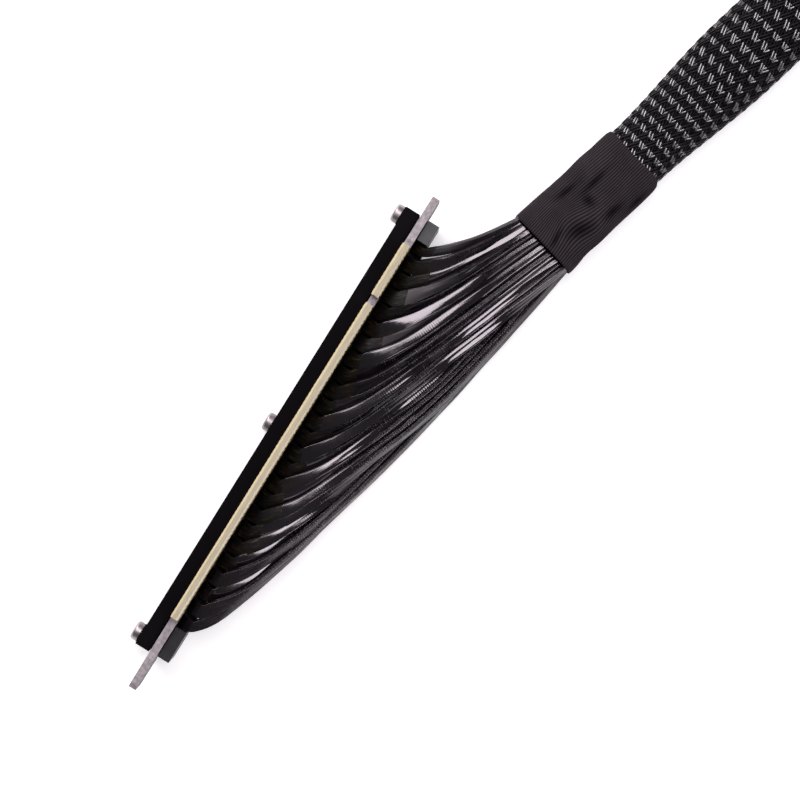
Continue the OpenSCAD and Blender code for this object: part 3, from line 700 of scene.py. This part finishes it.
def lane_route(i, fan, d):
    """Points of lane i at distances d before the collar's mouth; fan is [start height, upper height, its share, sink share, lift of the first low lane]."""
    x0 = LANE_X0 + (LANE_X1 - LANE_X0) * i / (LANES - 1)
    rel = np.array([x0, LANE_Y, CORE_Z]) - MOUTH
    d0, a0 = -float(rel @ AX), float(rel @ AC)
    ea, ez = end_a(i), end_z(i)

    def swing(dd):
        x = d0 - dd
        g = ea if i < FIRST_LOW else -6.9 + 1.05 * ((LANES - 1 - i) // 2)
        guide = g + (ea - g) * soft((42 - dd) / 22) - 3.95 * (1 - ((dd - 70) / 70) ** 2)
        free = a0 - drop(x) - 0.105 * x
        return (free + guide + np.sqrt((free - guide) ** 2 + 1.44)) / 2

    x = d0 - d
    t = 1 - d / d0
    lift = fan[4] if i == FIRST_LOW else (0.65 if i % 2 else -0.65)
    even, share = (0.5, 0.65) if fan[2] == 1.0 else (0.0, 0.5)
    if i < UPPER_N:
        a = a0 - drop(x) - (a0 - drop(d0) - ea) * x / d0
        z = fan[0] + (fan[1] - fan[0]) * ((1 - even) * soft(t / fan[2]) + even * np.clip(t / fan[2], 0, 1)) + (ez - fan[1]) * soft((t - 0.6) / 0.4) + lift * (1 - soft((t - 0.45) / 0.5))
    else:
        a = swing(d) - (swing(np.array(d0)) - a0) * (1 - soft(x / 12)) - (swing(np.array(0.0)) - ea) * soft((25 - d) / 25)
        zl = 1.3 if (i >= FIRST_LOW and i % 2 == 0) else ez
        tt = t / (share if i < FIRST_LOW else fan[3])
        z = fan[0] + (zl - fan[0]) * ((1 - even) * soft(tt) + even * np.clip(tt, 0, 1)) + lift * (1 - soft(t / 0.5)) + (ez - zl) * soft((24 - d) / 20)
    p = MOUTH - d[:, None] * AX + a[:, None] * AC
    p[:, 2] = z
    return p, x0, d0, lift


def lane_section():
    """Outline of a lane: a flat strip with round edges and a slight crown, as (across, up)."""
    r, w, t = 0.17, LANE_W / 2, LANE_T / 2
    pts = []
    for cx, cy, q0 in ((w - r, t - r, 0.0), (-(w - r), t - r, 90.0), (-(w - r), -(t - r), 180.0), (w - r, -(t - r), 270.0)):
        for q in np.linspace(0, 90, 5):
            a = math.radians(q0 + q)
            pts.append((cx + r * math.cos(a), cy + r * math.sin(a)))
        if q0 in (0.0, 180.0):
            sgn = 1 if q0 == 0.0 else -1
            for f in (0.86, 0.36, 0.0, -0.36, -0.86):
                pts.append((sgn * f * (w - r), sgn * t))
    out = np.array(pts)
    face = np.abs(out[:, 1]) > t - 0.02
    out[:, 1] -= np.sign(out[:, 1]) * face * 0.085 * (out[:, 0] / w) ** 2
    return out


SECTION = lane_section()
ROUND = np.concatenate([[0.0], np.cumsum(np.linalg.norm(np.diff(SECTION, axis=0), axis=1))])
FURROW = -np.sign(SECTION[:, 1]) * (np.abs(SECTION[:, 0]) < 0.05) * 0.15
# how a lane turns on its edge: degrees at distances from the board, then at the collar
DARK = ((0, 24), (4, 31), (10, 46), (16, 52))
TURN = {i: DARK for i in range(LANES)}
TURN.update({
    0: ((0, 22), (5, 26), (9, 40)), 1: ((0, 23), (6, 27), (10, 40), (15, 44), (18, 20)), 2: ((0, 20), (6, 21), (10, 25), (16, 25), (20, 13), (23, 6)),
    3: ((0, 4), (5, 20), (10, 34), (18, 50)), 5: ((0, 24), (1.5, 16), (4, 11), (9, 14), (14, 16.5), (19, 22), (27, 50)),
    6: ((0, 5), (5, 18), (10, 32), (18, 50)), 7: ((0, 24), (1.5, 16), (4, 11), (9, 14.5), (15, 18), (20, 20.5), (26, 30), (32, 48)),
    11: ((0, 24), (2, 16), (5, 9), (9, 12), (14, 17), (21, 34), (28, 46), (31, 33), (34, 20), (47, 20.5), (52, 46)),
    13: ((0, 24), (2, 16.5), (5, 9), (9, 13), (15, 28), (22, 48), (31, 40), (35, 20), (47, 20.5), (52, 50)),
    14: ((0, 24), (6, 32), (14, 50), (22, 40), (26, 19), (38, 18.5), (43, 54)),
    15: ((0, 24), (3, 16), (6, 14), (11, 18), (16, 20.5), (20, 30), (26, 50)), 19: ((0, 24), (3, 17), (7, 16.5), (12, 19), (16, 22), (22, 50)),
    16: ((0, 24), (3, 18), (6, 18), (10, 27), (16, 50)), 17: ((0, 24), (3, 16), (8, 14), (14, 18.5), (19, 36), (25, 50)),
    18: ((0, 24), (3, 17), (8, 15.5), (12, 21), (18, 50)), 20: ((0, 24), (3, 18), (9, 18.5), (13, 36), (20, 50)),
    22: ((0, 24), (3, 14), (8, 13), (13, 18), (18, 36), (24, 50))})
for i in range(UPPER_N + 1, LANES):
    TURN[i] = TURN[i] + ((34, 74),)
GLOSS = (1, 2, 5, 7, 11, 13, 14, 15, 16, 17, 18, 19, 20, 22)
SATIN = (0, 3, 6)
DULL = (10, 21, 23, 24)
BRIGHT = (2, 3, 5, 7, 8, 10, 11)


def lane_mesh(i, fan, tail, far, seed):
    x0 = LANE_X0 + (LANE_X1 - LANE_X0) * i / (LANES - 1)
    d0 = -float((np.array([x0, LANE_Y, CORE_Z]) - MOUTH) @ AX)
    m = max(24, int(d0 / 0.62))
    x = d0 * (np.linspace(0, 1, m + 1) ** 1.12)
    p, x0, d0, lift = lane_route(i, fan, d0 - x)
    plan = [q for q in TURN[i] if q[0] < d0 - 4] + [(d0, 24 if i in (1, 2) else (74 if i % 2 else 52))]
    w = np.interp(x, [q[0] for q in plan], [q[1] for q in plan])
    for _ in range(6):
        w[1:-1] = 0.25 * w[:-2] + 0.5 * w[1:-1] + 0.25 * w[2:]
    r = np.random.default_rng(seed)
    f = r.uniform(0, 6.28, 6)
    calm = soft(x / 8.0) * soft((d0 - x) / 5.0)
    w = w + calm * (2.4 * np.sin(x / 3.7 + f[0]) + 1.6 * np.sin(x / 1.9 + f[1]))
    side = np.stack([AX[0] * 0 + AC[0] + 0 * x, AC[1] + 0 * x, 0 * x], -1)
    p = p + (calm * (0.06 * np.sin(x / 4.6 + f[2]) + 0.03 * np.sin(x / 2.2 + f[3])))[:, None] * side
    p[:, 2] += calm * (0.08 * np.sin(x / 5.3 + f[4]) + 0.03 * np.sin(x / 2.7 + f[5]))
    if tail == "board":
        q = np.radians(np.linspace(0, 90, 9)[:-1])
        ty = -2.625
        bend = np.stack([np.full(len(q), x0), ty - 2.0 * (1 - np.cos(q)), 10.3 + lift + 2.0 * np.sin(q)], -1)
        start = np.array([[x0, ty, 8.0], [x0, ty, 8.8], [x0, ty, 9.5 + lift * 0.5]])
        head = np.concatenate([start, bend])
        head_x = np.concatenate([[-4.6, -3.8, -3.2], np.linspace(-2.6, -0.3, len(q))])
    else:
        yy = np.linspace(0, 1, 7)[:-1]
        z0 = 4.1 + LANE_T / 2 + 0.05
        head = np.stack([np.full(len(yy), x0), -1.95 + (LANE_Y + 1.95) * yy, z0 + (fan[0] + lift - z0) * soft(yy)], -1)
        head = np.concatenate([[[x0, 2.35, z0], [x0, 0.2, z0]], head])
        head_x = np.concatenate([[-6.0, -4.4], -3.0 * (1 - yy)])
    tail_p = np.stack([p[-1] + k * AX for k in (0.9, 1.9, 2.9, 3.96)])
    pts = np.concatenate([head, p, tail_p])
    along = np.concatenate([head_x, x, d0 + np.array([0.9, 1.9, 2.9, 3.96])])
    tw = np.radians(np.concatenate([np.full(len(head), w[0]) * np.linspace(0, 1, len(head)) ** 2, w, np.full(4, w[-1])]))
    # one gentle pass of smoothing where the bend meets the fan
    for _ in range(2):
        pts[2:-2] = 0.25 * pts[1:-3] + 0.5 * pts[2:-2] + 0.25 * pts[3:-1]
    t = unit(np.gradient(pts, axis=0))
    h = np.hypot(t[:, 0], t[:, 1])
    flat = np.stack([-t[:, 1], t[:, 0], 0 * h], -1)
    base = np.array([1.0, 0.0, 0.0])
    sd = np.where((h > 0.05)[:, None], flat / np.maximum(h, 1e-6)[:, None], base)
    # the strip leaves the board with its width along it
    lead = soft((along + 2.6) / 3.2)[:, None]
    sd = unit((1 - lead) * base + lead * sd)
    sd = unit(sd - (sd * t).sum(-1, keepdims=True) * t)
    up = np.cross(t, sd)
    sw = np.cos(tw)[:, None] * sd + np.sin(tw)[:, None] * up
    ut = np.cos(tw)[:, None] * up - np.sin(tw)[:, None] * sd
    # the strip is pressed wider where it leaves the board
    wide = 1.0 + (0.0 if i == 0 else (0.25 if far or i == 24 else 0.60)) * (1 - soft((along - 0.5) / 9.0)) * soft((along + 4.6) / 2.0)
    sunk = soft((along - (24.0 if i in (1, 2, 5, 7) else 9.0)) / 9.0) * (0.75 + 0.25 * np.sin(along / 3.1 + f[0]))
    high = SECTION[None, :, 1] + sunk[:, None] * FURROW[None, :]
    ring = pts[:, None, :] + (wide[:, None] * SECTION[None, :, 0])[..., None] * sw[:, None, :] + high[..., None] * ut[:, None, :]
    # the stripped start reaches further along the upper side than along the lower one
    slant = soft((along + 1.5) / 2.0) * (1 - soft((along - 1.6) / 6.0))
    ring = ring + (slant[:, None] * (0.75 * SECTION[None, :, 0] / (LANE_W / 2)))[..., None] * t[:, None, :]
    ring[:, :, 2] = np.maximum(ring[:, :, 2], 0.03)
    if far:
        ring = ring * np.array([-1.0, 1.0, 1.0]) + np.array([2 * MID_X, 0.0, 0.0])
    return ring, along, d0, np.degrees(tw)


def lane_group(name, ids, fan, tail, far, replaced):
    verts, faces, mi, al, lf, sd, rd = [], [], [], [], [], [], []
    o = 0
    n = len(SECTION)
    for i in ids:
        ring, along, d0, tw = lane_mesh(i, fan, tail, far, 100 + i + (50 if far else 0))
        m = len(ring)
        f = grid_faces(m, n, o)
        caps = [[o + j for j in range(n - 1, -1, -1)], [o + (m - 1) * n + j for j in range(n)]]
        if far:
            f = f[:, ::-1]
            caps = [c[::-1] for c in caps]
        faces += f.tolist() + caps
        mid, turn = 0.5 * (along[:-1] + along[1:]), 0.5 * (tw[:-1] + tw[1:])
        kind = np.where(turn < 34, 0, 1) if i in GLOSS else np.full(m - 1, 2 if i in SATIN else (4 if i in DULL else 1))
        kind = np.where(mid < (-1.0 if i > 20 else (0.9 if i in (5, 7, 11, 13, 15) else 1.2 + 3.6 * ((i * 7) % 5) / 5)), 3, kind)
        kind = np.where((d0 - mid < 8.0 + 3.0 * ((i * 5) % 4)) & (i in BRIGHT), 0, kind)
        mi += np.repeat(kind, n).tolist() + [3, 1]
        lf.append(np.repeat(d0 - along, n))
        verts.append(ring.reshape(-1, 3))
        al.append(np.repeat(along, n))
        sd.append(np.full(m * n, ((i * 37) % 25) / 25.0))
        rd.append(np.tile(ROUND, m))
        o += m * n
    ob = make_object(name, np.concatenate(verts), faces, [m_lane_gloss, m_lane_wrap, m_lane_satin, m_tail, m_lane_dull], mi,
                     floats={"along": np.concatenate(al), "left": np.concatenate(lf), "seed": np.concatenate(sd), "round": np.concatenate(rd)})
    return own(ob, "lane_jacket", replaced)


BOARD_FAN = (12.3, CORE_Z + LAYER, 1.0, 0.48, -0.2)
SLOT_FAN = (5.6, 9.2, 0.6, 0.25, -0.9)
layers = (("upper", range(0, UPPER_N)), ("middle", range(UPPER_N, FIRST_LOW)), ("lower", range(FIRST_LOW, LANES)))
for word, ids in layers:
    lane_group("lanes_board_" + word, ids, BOARD_FAN, "board", False, "board_lanes_" + word)
    lane_group("lanes_slot_" + word, ids, SLOT_FAN, "slot", True, "slot_lanes_" + word)


# ---------------------------------------------------------------- rigid pieces
cover = refined("outer_cover", m_cover, "cover_black", 0.12)
bar = refined("clamp_bar", m_clamp, "bar_black", 0.15)
screws = refined("cover_screws", m_nickel, "screw_nickel", 0.05, 28.0)
board = refined("card_board", m_board, "card_laminate", 0.05, 15.0)
housing = refined("slot_housing", m_housing, "slot_plastic", 0.06)
slot_base = refined("slot_base", m_base, "cover_black", 0.15)
slot_bar = refined("slot_clamp_bar", m_bar, "bar_black", 0.2)
slot_screws = refined("slot_screws", m_nickel, "screw_nickel", 0.05, 28.0)
slot_pcb = refined("slot_board", m_slot_board, "slot_laminate", 0.05)
for name, material in (("contacts_cable_side", m_gold), ("contacts_cover_side", m_gold), ("slot_contacts_front", m_gold),
                       ("slot_contacts_rear", m_gold), ("cable_core", m_core)):
    me = nodes[name].data
    me.materials.clear()
    me.materials.append(material)


# ---------------------------------------------------------------- floor and light
def floor_material():
    n = Nodes("floor")
    n.color(n.ramp(n.noise(3.0, 2.0, 0.5), [(0.3, (0.93, 0.93, 0.93)), (0.7, (0.95, 0.95, 0.95))]))
    n.set(Roughness=0.9, Specular_IOR_Level=0.1, Emission_Color=(1.0, 1.0, 1.0, 1.0), Emission_Strength=0.40)
    return n.mat


me = bpy.data.meshes.new("floor")
me.from_pydata([(-6, -6, 0), (6, -6, 0), (6, 6, 0), (-6, 6, 0)], [], [(0, 1, 2, 3)])
me.materials.append(floor_material())
floor = bpy.data.objects.new("floor", me)
scene.collection.objects.link(floor)

world = bpy.data.worlds.new("studio")
scene.world = world
world.use_nodes = True
world.node_tree.nodes["Background"].inputs["Color"].default_value = (1.0, 0.96, 0.99, 1.0)
world.node_tree.nodes["Background"].inputs["Strength"].default_value = 0.13


def softbox(name, place, target, along, size_x, size_y, radiance):
    """A soft rectangular light that faces the target, its x side along the given direction."""
    li = bpy.data.lights.new(name, "AREA")
    li.shape = "RECTANGLE"
    li.size = size_x
    li.size_y = size_y
    li.energy = radiance * math.pi * size_x * size_y
    li.color = (1.0, 0.945, 0.985)
    ob = bpy.data.objects.new(name, li)
    scene.collection.objects.link(ob)
    z = unit(np.array(place, float) - np.array(target, float))
    x = np.array(along, float)
    x = unit(x - (x @ z) * z)
    y = np.cross(z, x)
    ob.matrix_world = Matrix(((x[0], y[0], z[0], place[0]), (x[1], y[1], z[1], place[1]), (x[2], y[2], z[2], place[2]), (0, 0, 0, 1)))
    return ob


# a long soft light that arches over the part, across the run of the cable, in three panels
CENTRE = np.array([0.035, -0.020, 0.008])
ARCH_R = 1.7
for name, lean, radiance in (("arch_low", -20.0, 10.0), ("arch_top", 21.0, 11.5), ("arch_high", 62.0, 11.5)):
    q, tip = math.radians(lean), math.radians(12.0)
    way = math.cos(tip) * (math.cos(q) * np.array([0.0, 0.0, 1.0]) + math.sin(q) * AC) + math.sin(tip) * AX
    softbox(name, CENTRE + ARCH_R * way, CENTRE, AX, 2 * ARCH_R * math.tan(math.radians(6.0)), 2 * ARCH_R * math.tan(math.radians(20.5)), radiance)

scene.view_settings.view_transform = "Standard"
scene.view_settings.look = "None"
